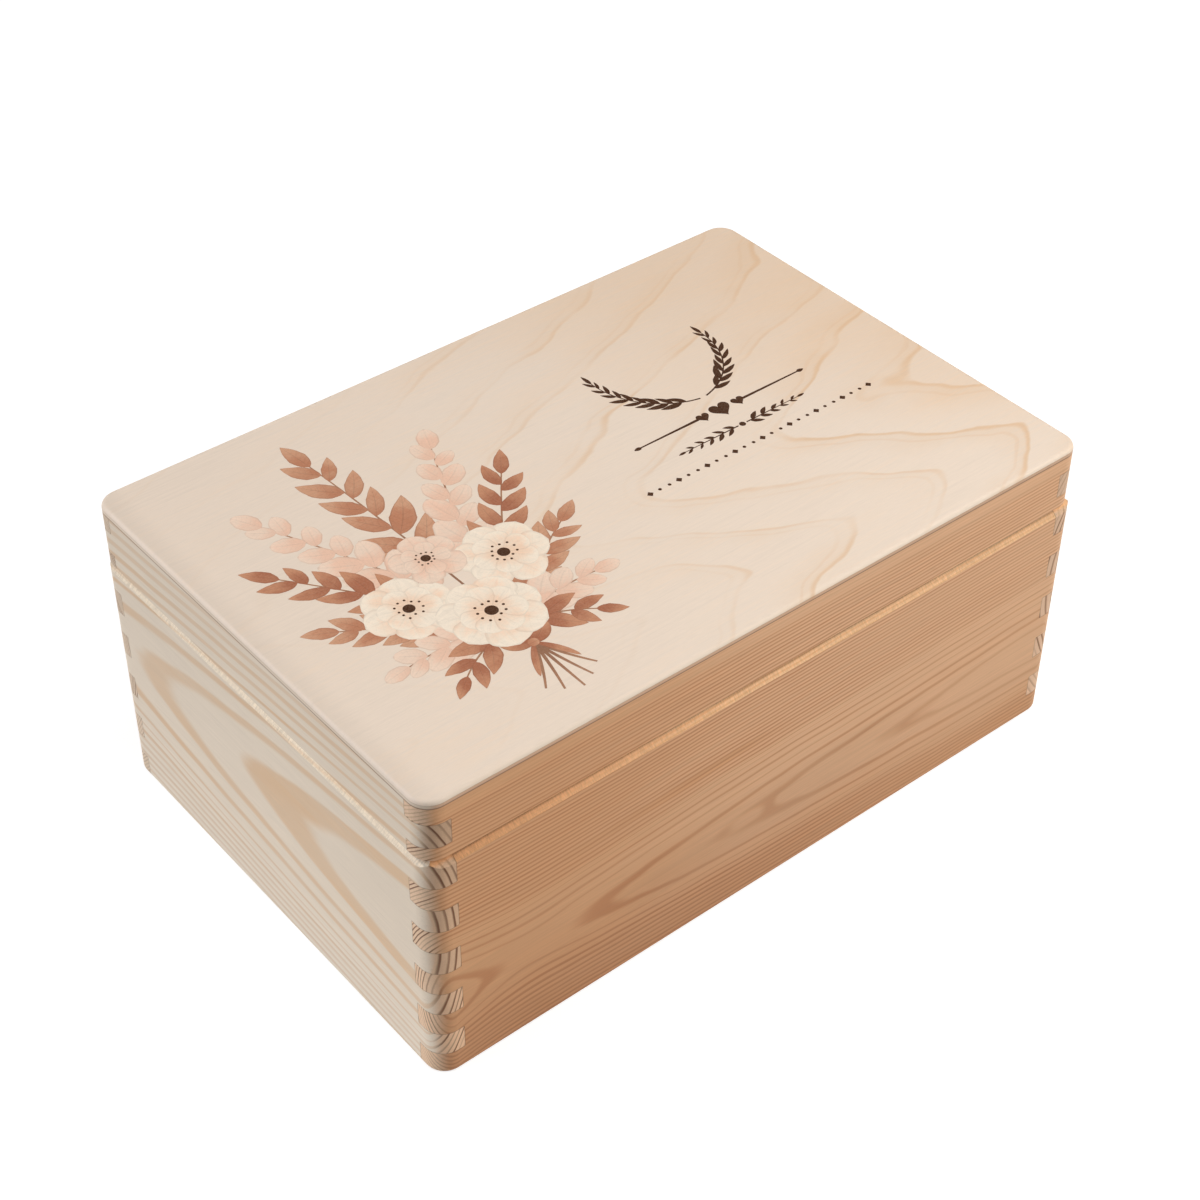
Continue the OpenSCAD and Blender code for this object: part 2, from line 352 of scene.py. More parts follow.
def fingerLines(x, y, z, first, top, middle):
    # the fine dark lines where the fingers of two boards meet at a corner
    step, line = pine["finger"], pine["line"]
    last = math.floor((top - first) / step - 0.5)
    z = calc("MINIMUM", z, first + step * (last + 0.5))
    count = calc("DIVIDE", calc("SUBTRACT", z, first), step)
    off = calc("SUBTRACT", calc("FRACT", calc("ADD", count, 0.5)), 0.5)
    level = ramp(product(calc("ABSOLUTE", off), step), line, 2 * line, 1, 0)
    longFinger = calc("LESS_THAN", calc("FRACT", calc("MULTIPLY", count, 0.5)), 0.5)
    endFinger = calc("SUBTRACT", 1, longFinger)
    spanX = calc("ABSOLUTE", calc("SUBTRACT", x, middle))
    spanY = calc("ABSOLUTE", y)
    pastX = calc("GREATER_THAN", spanX, innerHalfLength + line)
    pastY = calc("GREATER_THAN", spanY, innerHalfWidth + line)
    atX = product(near(spanX, innerHalfLength, line, line), endFinger, pastY)
    atY = product(near(spanY, innerHalfWidth, line, line), longFinger, pastX)
    level = product(level, pastX, pastY)
    return calc("MAXIMUM", level, calc("MAXIMUM", atX, atY))


def ringPattern(log, along, inside, z):
    # distance from the pith, which comes nearer along the board and waves about a little
    place = vector(along, inside, z)
    slow = figure(place, pine["slow"])
    fast = figure(place, pine["fast"])
    before = calc("MAXIMUM", calc("SUBTRACT", log["swellFrom"], along), 0)
    reach = total(calc("MULTIPLY_ADD", along, log["taper"], log["pithOut"]), inside,
                  product(along, along, log["bow"]), product(before, before, -log["swell"]))
    height = total(z, -log["centre"], swing(slow, log["wobble"]))
    radius = total(product(reach, reach), product(height, height))
    radius = total(calc("SQRT", radius), swing(fast, log["ripple"] * log["ring"]),
                   product(inside, log["depthGain"]))
    eyeX, eyeZ = log["eye"]
    eye = product(near(along, eyeX, 0, pine["eyeSize"][0]),
                  near(z, eyeZ, 0, pine["eyeSize"][1]), log["eyeLift"])
    radius = calc("MAXIMUM", calc("ADD", radius, eye), log["core"])
    aroundEye = product(near(along, eyeX + pine["eyeRight"], *pine["eyeField"]),
                        near(z, eyeZ, *pine["eyeHeight"]))
    atEye = product(aroundEye, near(along, eyeX, pine["eyeFade"], pine["eyeFade"]))

    # which ring, how far through it, and how much tighter the rings are there
    side = pine["sides"]
    tightFrom = ramp(height, -side, side, *log["tightFrom"])
    tighter = ramp(height, -side, side, *log["tighter"])
    tight = calc("MAXIMUM", calc("SUBTRACT", radius, tightFrom), 0)
    turns = total(calc("DIVIDE", radius, log["ring"]), -log["boundary"] / log["ring"],
                  product(tight, tighter))
    turn = calc("FRACT", turns)
    ring = calc("FLOOR", turns)
    startDraw = chance(calc("ADD", ring, log["seed"]))
    strengthDraw = chance(calc("ADD", ring, log["seed"] + 40.5))
    fine = ramp(tight, *pine["fine"])

    strength = between(calc("POWER", strengthDraw, pine["weakPower"]), log["faintest"], 1)
    strength = product(strength, ramp(fine, 0, 1, log["broadStrength"], pine["fineMost"]))
    strength = calc("MAXIMUM", strength, product(fine, log["fineStrength"]))
    plainFrom, (fade, endFade) = log["plainFrom"], pine["fade"]
    strength = product(strength, ramp(z, plainFrom, plainFrom + fade, 1, log["plain"]),
                       ramp(along, 0, pine["farEnd"], 1, log["bandFar"]),
                       between(atEye, 1, 1 - log["eyeFaint"]))

    # the pale spring wood darkens slowly into a summer band with a sharper outer edge, which is
    # only a thin line on the end grain
    bandStart = ramp(startDraw, 0, 0.5, *log["bandFrom"], "LINEAR")
    bandStart = calc("MINIMUM", bandStart, between(fine, 1, pine["fineStart"]))
    bandFull = calc("ADD", bandStart, between(fine, *log["soften"]))
    outerEdge = ramp(turn, between(fine, *log["bandEnd"]), 1.0, 1, 0)
    band = product(ramp(turn, bandStart, bandFull), outerEdge, strength)
    drawLow, drawHigh, faint = pine["endFaint"]
    endBand = product(ramp(turn, *pine["endBand"]), outerEdge,
                      ramp(strengthDraw, drawLow, drawHigh, faint, 1),
                      ramp(z, *pine["endLow"], log["endLow"], 1),
                      ramp(z, plainFrom, plainFrom + endFade, 1, log["endPlain"]))
    return radius, band, endBand, aroundEye


def darkeningAndShadeOnCuts(log, x, along, inside, up, normalX, normalY):
    # the rim's bevel is painted darker: painted shade round the corners, a painted shadow in a line
    # where the lid's edge overhangs it, and darker stretches towards the near corner and the far
    # end
    corner = product(calc("ABSOLUTE", normalX), calc("ABSOLUTE", normalY))
    corner = product(ramp(corner, *pine["corner"]),
                     ramp(x, *pine["leftToRight"], *pine["cornerPaintedShade"]))
    # painted shadow: a dark line along the bevel where the lid's edge overhangs it
    further, core, fade = pine["grooveLine"]
    groove = product(near(inside, log["groove"] + further, core, fade),
                     pine["grooveShade"], ramp(up, *pine["grooveUntil"], 1, 0))
    return total(ramp(along, *log["cutShade"], 0), corner,
                 ramp(along, *pine["cutFar"], 0, log["cutFarShade"]), groove)


def pineMaterial(name, log, lid):
    material = startTree(bpy.data.materials.new(name))
    place, normal = placeInMillimetres()
    x, y, z = split(place)
    normalX, normalY, normalZ = split(normal)
    if log["fibre"] == "x":
        along, across, facing, face = x, y, normalX, halfWidth
    else:
        along, across, facing, face = y, x, normalY, halfLength
    facing = calc("ABSOLUTE", facing)
    inside = calc("MULTIPLY_ADD", across, -log["side"], face)
    radius, band, endBand, aroundEye = ringPattern(log, along, inside, z)

    # fibres, streaks, resin ducts and cloudy variation
    inBoard = vector(along, inside, z)
    fibres, streaks, ducts, cloud, scratches = (
        figure(inBoard, pine[kind])
        for kind in ("fibres", "streaks", "ducts", "cloud", "scratches"))
    pores = figure(place, pine["pores"])
    band = product(band, total(pine["bandLevel"], swing(cloud, pine["bandUneven"]),
                               swing(streaks, pine["bandStreaks"])))

    deep = calc("MAXIMUM", ramp(along, log["deepUntil"], log["deepGone"], 1, 0),
                ramp(z, 0, pine["deepFoot"], log["deepLow"], 0))
    stripe = product(near(radius, log["stripe"], *pine["stripeSize"]),
                     ramp(along, *pine["stripeEnd"], 1.0, 0))
    deep = total(deep, swing(cloud, pine["deepUneven"]), stripe)
    longColour = blend(deep, log["early"], log["deep"])
    longColour = blend(band, longColour, log["late"])
    lowTint = product(ramp(z, 0, log["lowReach"], log["lowTint"], 0),
                      ramp(along, *log["lowAlong"], 1, 0))
    longColour = blend(lowTint, longColour, log["low"])
    endColour = blend(endBand, log["endEarly"], log["endLate"])
    sawnColour = blend(ramp(along, *pine["cutDeepEnd"], 1, 0), log["cutEarly"], log["cutDeep"])
    sawnColour = blend(product(band, pine["cutBands"]), sawnColour, log["cutLate"])

    # fresh saw cuts are the chamfers and bevels that show round the rim, and the rims themselves,
    # and they are scorched across the ends of the fibres
    up = calc("ABSOLUTE", normalZ)
    sawn = ramp(up, *pine["sawnFrom"])
    endGrain = ramp(facing, *pine["endFrom"])
    colour = blend(sawn, longColour, sawnColour)
    colour = blend(endGrain, colour, endColour)
    burnt = product(sawn, ramp(facing, *pine["burntFrom"]), pine["burnt"])
    if not lid:
        low, high, least = pine["burntDown"]
        burnt = product(burnt, ramp(z, rimHeight - low, rimHeight - high, least, 1))
    scorch = blend(ramp(x, *pine["leftToRight"]), *pine["scorch"])
    colour = blend(burnt, colour, scorch)

    # painted shade and shadow on the bevel and its darker stretches, left out where it is scorched
    cutDarkeningAndShade = product(darkeningAndShadeOnCuts(log, x, along, inside, up, normalX, normalY),
                   calc("SUBTRACT", 1.0, burnt))
    alongSlope, upSlope = log["slope"]
    fromMiddle = calc("SUBTRACT", z, pine["slopeMiddle"])
    # besides the wood's figure, the level darkens the foot (partly painted shade), lightens along
    # the slopes (partly painted light) and holds the bevel's painted shade
    level = total(
        1.0, swing(fibres, pine["fibreShade"]), swing(cloud, pine["cloudShade"]),
        swing(streaks, log["streaks"]),
        product(endGrain, ramp(z, *pine["dull"], "LINEAR"), log["endDark"]),
        ramp(z, 0, pine["deepFoot"], log["lowShade"], 0),
        product(along, alongSlope), product(fromMiddle, upSlope),
        product(band, lowTint, pine["lowBands"]),
        product(aroundEye, -log["eyeDull"]),
        product(endGrain, swing(pores, pine["poreShade"])),
        product(sawn, total(swing(scratches, pine["scratchShade"]), cutDarkeningAndShade)))
    colour = scaled(colour, level)
    ducts = ramp(ducts, *pine["ductFrom"])
    colour = blend(product(ducts, pine["ductTint"]), colour, pine["duct"])

    if lid:
        seam = fingerLines(x, y, z, lidBottom + pine["lidFirst"] - pine["finger"], railTop,
                           lidMiddle)
        seam = calc("MAXIMUM", seam, near(z, railTop, *pine["panelLine"]))
    else:
        seam = fingerLines(x, y, z, 0, rimHeight, 0)
    colour = blend(product(seam, pine["seamTint"]), colour, pine["seam"])

    relief = total(product(band, pine["bandRelief"]), product(fibres, pine["fibreRelief"]),
                   product(sawn, scratches, pine["sawRelief"]),
                   product(endGrain, pores, pine["poreRelief"]), product(seam, pine["seamRelief"]))
    roughness = total(pine["roughness"], swing(fibres, pine["fibreRough"]),
                      product(endGrain, pine["endRough"]), product(sawn, pine["sawnRough"]))
    return finishSurface(material, colour, roughness, relief, pine["depth"], pine["specular"])


logs = {
    "front_board": frontLog, "back_board": backLog, "left_board": leftLog, "right_board": rightLog,
    "lid_front_rail": frontLog, "lid_back_rail": backLog, "lid_left_rail": leftLog,
    "lid_right_rail": rightLog,
}
for nodeName, log in logs.items():
    dress(nodeName, pineMaterial("pine_" + nodeName, log, "lid" in nodeName))
print("pine boards and rails finished")


# Birch plywood: two peeled veneers over a darker core, glued on both sides.

veneer = {
    "pale": rgb(242, 224, 206), "warm": rgb(234, 204, 174), "line": rgb(228, 188, 146),
    # the figure: nested flames that point right at one height, and rise to the right above it
    "spacing": 46.0, "tipY": -77.0, "tipX": 7.0, "steep": 1.6, "turnY": 40.0, "lean": 0.2,
    "blunt": 6.0, "round": 30.0,
    # how it wanders sideways and up, and shivers, each with its noise and its size
    "side": ((0.013, 0.020, 0), 2, 0.45, 0.0), "sideSize": 22,
    "rise": ((0.011, 0.017, 0), 2, 0.45, 5.0), "riseSize": 16,
    "shiver": ((0.06, 0.09, 0), 2, 0.5, 9.0), "shiverSize": 3.0,
    # a ring's line ends it, a paler echo runs before it, and a glow leads up to it
    "lineFrom": (0.89, 0.95), "lineEnd": 0.955, "glowFrom": (0.25, 0.95),
    "echoAt": (0.80, 0.01, 0.025), "echo": 0.35, "lineTint": 0.65,
    # lines are fainter by chance, to the left, and in patches
    "faintest": 0.5, "faintLeft": (-70, 20, 0.15), "patches": ((0.025, 0.035, 0), 2, 0.5, 3.0),
    "patchFrom": (0.36, 0.60, 0.25),
    # pores in streaks and dashes, and cloudy tones
    "streaks": ((0.03, 0.9, 1), 3, 0.6, 0), "dashes": ((0.22, 4.5, 1), 2, 0.6, 0),
    "cloud": ((0.014, 0.03, 1), 3, 0.5, 0),
    # the warm tone grows to the back right and swells with clouds, glow and streaks
    "warmBack": 0.8, "warmFrom": (20, 180, 0, 0.64), "uneven": 0.35,
    # slope is painted light: it makes the veneer lighter towards the front right
    "streakShade": 0.08, "dashShade": 0.06, "cloudShade": 0.04, "slope": 0.00025,
    "streakRelief": 0.4, "dashRelief": 0.8,
}


def veneerColour(place, shift):
    # the rings that a peeled veneer cuts through at a shallow angle
    x, y, z = split(place)
    x = calc("ADD", x, shift)
    place = vector(x, y, z)
    side, rise, shiver, patches, streaks, dashes, cloud = (
        figure(place, veneer[kind])
        for kind in ("side", "rise", "shiver", "patches", "streaks", "dashes", "cloud"))
    bent = total(y, swing(rise, veneer["riseSize"]))
    above = calc("ADD", bent, -veneer["tipY"])
    above = calc("SQRT", total(product(above, above), veneer["blunt"]))
    below = total(calc("SUBTRACT", veneer["turnY"], bent), product(x, -veneer["lean"]))
    tent = calc("SMOOTH_MIN", above, below, veneer["round"])
    field = total(x, swing(side, veneer["sideSize"]), swing(shiver, veneer["shiverSize"]),
                  product(tent, veneer["steep"]), -veneer["tipX"])
    turns = calc("DIVIDE", field, veneer["spacing"])
    turn = calc("FRACT", turns)

    strength = between(chance(calc("FLOOR", turns)), veneer["faintest"], 1.0)
    strength = product(strength, ramp(x, *veneer["faintLeft"], 1.0))
    patches = ramp(patches, *veneer["patchFrom"], 1.0)
    edge = ramp(turn, veneer["lineEnd"], 1.0, 1, 0)
    line = product(ramp(turn, *veneer["lineFrom"]), edge)
    echo = product(near(turn, *veneer["echoAt"]), veneer["echo"])
    line = product(calc("MAXIMUM", line, echo), strength, patches)
    glow = product(ramp(turn, *veneer["glowFrom"]), edge, strength, patches)

    backRight = total(x, product(y, veneer["warmBack"]))
    warm = total(ramp(backRight, *veneer["warmFrom"]),
                 swing(cloud, veneer["uneven"]), product(glow, veneer["uneven"]),
                 swing(streaks, veneer["uneven"]))
    colour = blend(warm, veneer["pale"], veneer["warm"])
    colour = blend(product(line, veneer["lineTint"]), colour, veneer["line"])
    # painted light: the slope term raises the level towards the front right
    level = total(1.0, swing(streaks, veneer["streakShade"]),
                  swing(dashes, veneer["dashShade"]), swing(cloud, veneer["cloudShade"]),
                  product(calc("SUBTRACT", x, y), veneer["slope"]))
    relief = total(product(streaks, veneer["streakRelief"]), product(dashes, veneer["dashRelief"]))
    return scaled(colour, level), relief


plywood = {
    # the core at the ends and the long sides, its grain, the glue, and the veneers' thickness
    "core": rgb(208, 164, 130), "coreLong": rgb(226, 208, 186), "longFrom": (0.3, 0.7),
    "coreGrain": ((1.4, 1.4, 3), 3, 0.6, 0), "coreShade": 0.14, "coreTint": 0.8,
    "coreRelief": 0.6, "coreBlur": 0.05, "glue": rgb(122, 84, 58), "ply": 1.45,
    # glue lines on both sides of the core, and the dark one under the panel
    "glueLine": (0.03, 0.06), "glueShare": 0.35, "footLine": (0.15, 0.35), "glueTint": 0.85,
    # where a surface is edge and not face, and where it turns over the sanded brink
    "edgeFrom": (0.25, 0.55), "brinkFrom": (0.45, 0.95),
    # painted shade on the brink, more of it to the right and where it faces left, and a darker left
    # end
    "brinkPaintedShade": (0, 120, -0.04, -0.14), "brinkLeftPaintedShade": 0.04, "leftEnd": (-150, -138, -0.09, 0),
    "roughness": 0.52, "uneven": ((0.8, 0.8, 0.8), 3, 0.5, 0), "roughSwing": 0.07,
    "depth": 0.03, "specular": 0.4,
    "floorShift": 210,              # the floor's figure is another stretch of the same veneer
}


def plywoodMaterial(name, low, high, shift):
    material = startTree(bpy.data.materials.new(name))
    place, normal = placeInMillimetres()
    x, y, z = split(place)
    normalX, normalY, normalZ = split(normal)
    up = calc("ABSOLUTE", normalZ)
    edge = ramp(up, *plywood["edgeFrom"], 1, 0)
    colour, relief = veneerColour(place, shift)

    # the core shows at the edges, below the upper veneer
    coreTop = high - plywood["ply"]
    core = ramp(z, coreTop - plywood["coreBlur"], coreTop + plywood["coreBlur"], 1, 0)
    coreGrain = figure(place, plywood["coreGrain"])
    coreColour = blend(ramp(calc("ABSOLUTE", normalX), *plywood["longFrom"]),
                       plywood["core"], plywood["coreLong"])
    coreColour = scaled(coreColour, total(1.0, swing(coreGrain, plywood["coreShade"])))
    colour = blend(product(edge, core, plywood["coreTint"]), colour, coreColour)

    # painted shade: the panel's rounded brink is darker, more to the right and where it faces left
    brink = ramp(up, *plywood["brinkFrom"], 1, 0)
    brinkPaintedShade = total(ramp(x, *plywood["brinkPaintedShade"]),
                       product(calc("MINIMUM", normalX, 0), plywood["brinkLeftPaintedShade"]))
    colour = scaled(colour, total(1.0, product(brink, brinkPaintedShade), ramp(x, *plywood["leftEnd"])))
    fromMiddle = calc("ABSOLUTE", calc("SUBTRACT", z, (low + high) / 2))
    glue = near(fromMiddle, coreTop - (low + high) / 2, *plywood["glueLine"])
    glue = calc("MAXIMUM", product(glue, edge, plywood["glueShare"]),
                product(near(z, low, *plywood["footLine"]), edge))
    colour = blend(product(glue, plywood["glueTint"]), colour, plywood["glue"])

    relief = total(relief, product(edge, coreGrain, plywood["coreRelief"]))
    uneven = figure(place, plywood["uneven"])
    roughness = total(plywood["roughness"], swing(uneven, plywood["roughSwing"]))
    return finishSurface(material, colour, roughness, relief, plywood["depth"], plywood["specular"])


dress("lid_panel", plywoodMaterial("birch_lid_panel", railTop, panelTop, 0))
dress("floor_panel", plywoodMaterial("birch_floor_panel", floorBox[0].z / mm, floorBox[1].z / mm,
                                     plywood["floorShift"]))
print("plywood panels finished")


metal = {
    "brass": rgb(214, 178, 104), "screw": rgb(206, 176, 118), "tarnish": rgb(150, 112, 58),
    # drawn brass is brushed along the hinge, and a turned screw evenly
    "drawn": ((0.15, 6.0, 6.0), 3, 0.6, 0), "turned": ((2.5, 2.5, 2.5), 3, 0.6, 0),
    "spots": ((0.7, 0.7, 0.7), 4, 0.65, 0), "stained": (0.5, 0.75, 0, 0.45), "brushShade": 0.08,
    "roughness": 0.30, "brushRough": 0.10, "stainRough": 0.35, "depth": 0.02, "edge": 0.1,
}


def metalMaterial(name, clean, brushing):
    material = startTree(bpy.data.materials.new(name))
    place = placeInMillimetres()[0]
    brushed = figure(place, brushing)
    stained = ramp(figure(place, metal["spots"]), *metal["stained"])
    colour = blend(stained, clean, metal["tarnish"])
    colour = scaled(colour, total(1.0, swing(brushed, metal["brushShade"])))
    roughness = total(metal["roughness"], swing(brushed, metal["brushRough"]),
                      product(stained, metal["stainRough"]))
    return finishSurface(material, colour, roughness, brushed, metal["depth"], metallic=1.0,
                         edge=metal["edge"])


brassMaterial = metalMaterial("hinge_brass", metal["brass"], metal["drawn"])
screwMaterial = metalMaterial("hinge_screws", metal["screw"], metal["turned"])
for nodeName in nodes:
    if "hinge" in nodeName:
        dress(nodeName, screwMaterial if "screws" in nodeName else brassMaterial)
print("hinges finished")


# The print on the lid: a bunch of painted leaves and blossoms on the left, and a laurel, hearts and
# two small borders on the right. Each shape is a film of ink, and the layers lie in steps so that
# no two films share a surface.

ink = {
    "base": panelTop - 0.01, "film": 0.02, "layer": 0.002,
    # noises: grain of the wood, pools of paint, and brush strokes along a shape and across it
    "grain": ((1.3, 1.3, 1.3), 4, 0.65, 0), "pools": ((0.11, 0.11, 0.11), 3, 0.55, 0),
    "strokes": (2.0, 16.0, 3, 0.6),
    # how pools and strokes mix the two tones, and where from and to along a shape
    "poolRun": 0.9, "strokeRun": 0.35, "run": (0.1, 0.95),
    # paint pools at the sides and the tip, and leaves have a rib and veins
    "sideRim": (0.80, 0.98), "tipRim": (0.93, 0.99), "rib": (0.02, 0.09), "veins": (7.0, -1.1),
    "veinLine": (0.5, 0.03, 0.07), "veinEnd": (0.7, 0.9), "veinShare": 0.6,
    "strokeShade": 0.16, "grainShade": 0.10, "poolShade": 0.12, "uneven": (0.5, 0.2),
    "roughness": 0.8, "depth": 0.03, "specular": 0.05,
}
# each paint's two tones, how well it covers, how dark its veins are, and how dark it pools
paints = {
    "brown": (rgb(188, 122, 88), rgb(214, 160, 126), 0.92, 0.16, 0.20),
    "rust": (rgb(168, 98, 66), rgb(204, 142, 106), 0.92, 0.14, 0.20),
    "peach": (rgb(240, 196, 170), rgb(248, 220, 198), 0.85, 0.08, 0.16),
    "cream": (rgb(246, 212, 184), rgb(255, 240, 220), 0.92, 0.05, 0.12),
}
stemPaint = (rgb(140, 92, 62), rgb(170, 118, 84), 0.9, 0.0, 0.1)
darkInk = (rgb(72, 43, 26), rgb(80, 51, 33), 0.98, 0.0, 0.05)


def inkMaterial(name, colour, wash, opacity, veins, pooled):
    # paint on veneer: two tones that run into each other, darker where it pooled at the edge
    material = startTree(bpy.data.materials.new(name))
    place = placeInMillimetres()[0]
    wood, relief = veneerColour(place, 0)
    uvNode = add("ShaderNodeUVMap")
    uvNode.uv_map = "UVMap"
    u, v = split(uvNode.outputs[0])[:2]
    side = calc("ABSOLUTE", calc("MULTIPLY_ADD", v, 2, -1))
    grain = figure(place, ink["grain"])
    pools = figure(place, ink["pools"])
    alongRepeats, acrossRepeats, detail, rough = ink["strokes"]
    strokes = vector(product(u, alongRepeats), product(v, acrossRepeats), pools)
    strokes = noise(strokes, detail, rough)
    run = total(u, swing(pools, ink["poolRun"]), swing(strokes, ink["strokeRun"]))
    paint = blend(ramp(run, *ink["run"]), colour, wash)
    rim = calc("MAXIMUM", ramp(side, *ink["sideRim"]), ramp(u, *ink["tipRim"]))
    rib = ramp(side, *ink["rib"], 1, 0)
    perLeaf, slant = ink["veins"]
    vein = calc("FRACT", total(product(u, perLeaf), product(side, slant)))
    vein = product(near(vein, *ink["veinLine"]), ramp(side, *ink["veinEnd"], 1, 0))
    dark = total(product(rim, pooled), product(rib, veins), product(vein, ink["veinShare"] * veins),
                 swing(strokes, ink["strokeShade"]), swing(grain, ink["grainShade"]),
                 swing(pools, ink["poolShade"]))
    paint = scaled(paint, calc("SUBTRACT", 1.0, dark))
    size, share = ink["uneven"]
    cover = calc("MULTIPLY_ADD", swing(grain, size), share, opacity)
    paint = blend(cover, wood, paint)
    return finishSurface(material, paint, ink["roughness"], relief, ink["depth"], ink["specular"])


def startInk():
    bm = bmesh.new()
    bm.loops.layers.uv.new("UVMap")
    return bm


def closeInk(bm, name, material):
    # gives the flat shapes their thickness and puts them on the lid
    for face in bm.faces:
        if face.normal.z < 0:
            face.normal_flip()
    made = bmesh.ops.extrude_face_region(bm, geom=bm.faces[:])
    raised = [item for item in made["geom"] if isinstance(item, bmesh.types.BMVert)]
    bmesh.ops.translate(bm, verts=raised, vec=(0, 0, ink["film"]))
    bmesh.ops.recalc_face_normals(bm, faces=bm.faces[:])
    bmesh.ops.scale(bm, vec=(mm, mm, mm), verts=bm.verts[:])
    piece = makeObject(name, bm, material)
    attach(piece, "lid")


def bladePath(root, heading, length, bend, share):
    # a point and a heading on an arc that turns by bend over its length, angles in degrees
    steps = 24
    spot = Vector(root)
    for index in range(steps):
        angle = math.radians(heading + bend * share * (index + 0.5) / steps)
        spot = spot + Vector((math.cos(angle), math.sin(angle))) * (length * share / steps)
    return spot, heading + bend * share


def outline(kind, u):
    # half width at the share u of the length, as a share of the widest place
    if kind == "round":
        return math.sin(math.pi * u) ** 0.55
    if kind == "petal":
        return math.sin(math.pi * u ** 1.7) ** 0.6
    if kind == "stem":
        return 1 - 0.5 * u
    return math.sin(math.pi * u ** 0.8) ** 0.85


def addBlade(bm, kind, root, heading, length, width, bend, layer, wave=0.0, cuts=14):
    # one leaf, petal or stem, from a grid that is tapered and bent
    rows = 1 if kind == "stem" else 4
    made = bmesh.ops.create_grid(bm, x_segments=cuts, y_segments=rows, size=1, calc_uvs=True)
    level = ink["base"] + layer * ink["layer"]
    least = 0.02
    for vert in made["verts"]:
        u = (vert.co.x + 1) / 2
        spot, turned = bladePath(root, heading, length, bend, u)
        ripple = 1 + wave * (math.sin(u * 19 + heading) + 0.6 * math.sin(u * 33 + 2 * heading))
        half = width / 2 * max(outline(kind, min(max(u, 0.0), 1.0)), least) * ripple
        angle = math.radians(turned + 90)
        vert.co = (spot.x + math.cos(angle) * half * vert.co.y,
                   spot.y + math.sin(angle) * half * vert.co.y, level)


def addDisc(bm, centre, radius, layer, points=20):
    place = Matrix.Translation((centre[0], centre[1], ink["base"] + layer * ink["layer"]))
    bmesh.ops.create_circle(bm, cap_ends=True, segments=points, radius=radius, matrix=place,
                            calc_uvs=True)


growth = {
    # a pair's place in its stretch of stem, how far apart its leaves are, how much smaller the
    # last pair is, and how sizes, spread and bend vary
    "foot": 0.2, "stagger": 0.02, "shrink": 0.45, "vary": (0.9, 1.1), "spreadVary": (0.85, 1.15),
    "bend": (8, 26), "wave": 0.03,
    # layers: of a pair, of its two sides, from pair to pair, and of the last leaf
    "layers": (0.3, 0.1, 0.4, 2.5),
    # the leaf at the end
    "tip": 0.985, "tipSize": 0.7, "tipBend": 6,
}


def addSprig(leafInk, stemInk, sprig, layer, luck):
    # leaves in pairs along a bent stem, smaller towards its tip, with one at the end
    root, aim, length, bend = sprig["root"], sprig["aim"], sprig["length"], sprig["bend"]
    addBlade(stemInk, "stem", root, aim, length, sprig["stem"], bend, layer, cuts=24)
    count = sprig["pairs"]
    pairLayer, sideLayer, nextLayer, tipLayer = growth["layers"]
    for index in range(count):
        share = sprig["bare"] + (1 - sprig["bare"]) * (index + growth["foot"]) / count
        for side in (-1, 1):
            spot, heading = bladePath(root, aim, length, bend,
                                      min(share + growth["stagger"] * side, 1))
            size = sprig["leaf"] * (1 - growth["shrink"] * index / count)
            size *= luck.uniform(*growth["vary"])
            spread = side * sprig["spread"] * luck.uniform(*growth["spreadVary"])
            width = size * sprig["slim"] * luck.uniform(*growth["vary"])
            addBlade(leafInk, sprig["kind"], spot, heading + spread, size, width,
                     -side * luck.uniform(*growth["bend"]),
                     layer + pairLayer + sideLayer * side + nextLayer * index, growth["wave"])
    tip, heading = bladePath(root, aim, length, bend, growth["tip"])
    size = sprig["leaf"] * growth["tipSize"]
    addBlade(leafInk, sprig["kind"], tip, heading, size, size * sprig["slim"], growth["tipBend"],
             layer + tipLayer, growth["wave"])


bloom = {
    # the inner petals' size, how petals vary in turn, size and bend, and their width and waves
    "inner": 0.68, "turnVary": (-6, 6), "vary": (0.93, 1.05), "bend": (-14, 14), "wide": 0.86,
    "wave": 0.02,
    # layers: of the inner petals, from petal to petal, and of the centre
    "layers": (1.1, 0.14, 2.3),
    # the centre and the dots round it, in shares of the blossom's radius
    "centre": 0.13, "dots": 11, "dotsOut": (0.19, 0.30), "dot": 0.030,
}


def addBlossom(petalInk, dotInk, centre, radius, count, turn, layer, luck):
    innerLayer, petalLayer, centreLayer = bloom["layers"]
    for ring, grow in ((0, 1.0), (1, bloom["inner"])):
        for index in range(count):
            heading = turn + 360 * (index + 0.5 * ring) / count + luck.uniform(*bloom["turnVary"])
            size = radius * grow * luck.uniform(*bloom["vary"])
            addBlade(petalInk, "petal", centre, heading, size, size * bloom["wide"],
                     luck.uniform(*bloom["bend"]), layer + innerLayer * ring + petalLayer * index,
                     bloom["wave"])
    addDisc(dotInk, centre, radius * bloom["centre"], layer + centreLayer)
    for index in range(bloom["dots"]):
        angle = math.radians(360 * index / bloom["dots"] + turn)
        out = radius * luck.uniform(*bloom["dotsOut"])
        spot = (centre[0] + out * math.cos(angle), centre[1] + out * math.sin(angle))
        addDisc(dotInk, spot, radius * bloom["dot"], layer + centreLayer, 8)


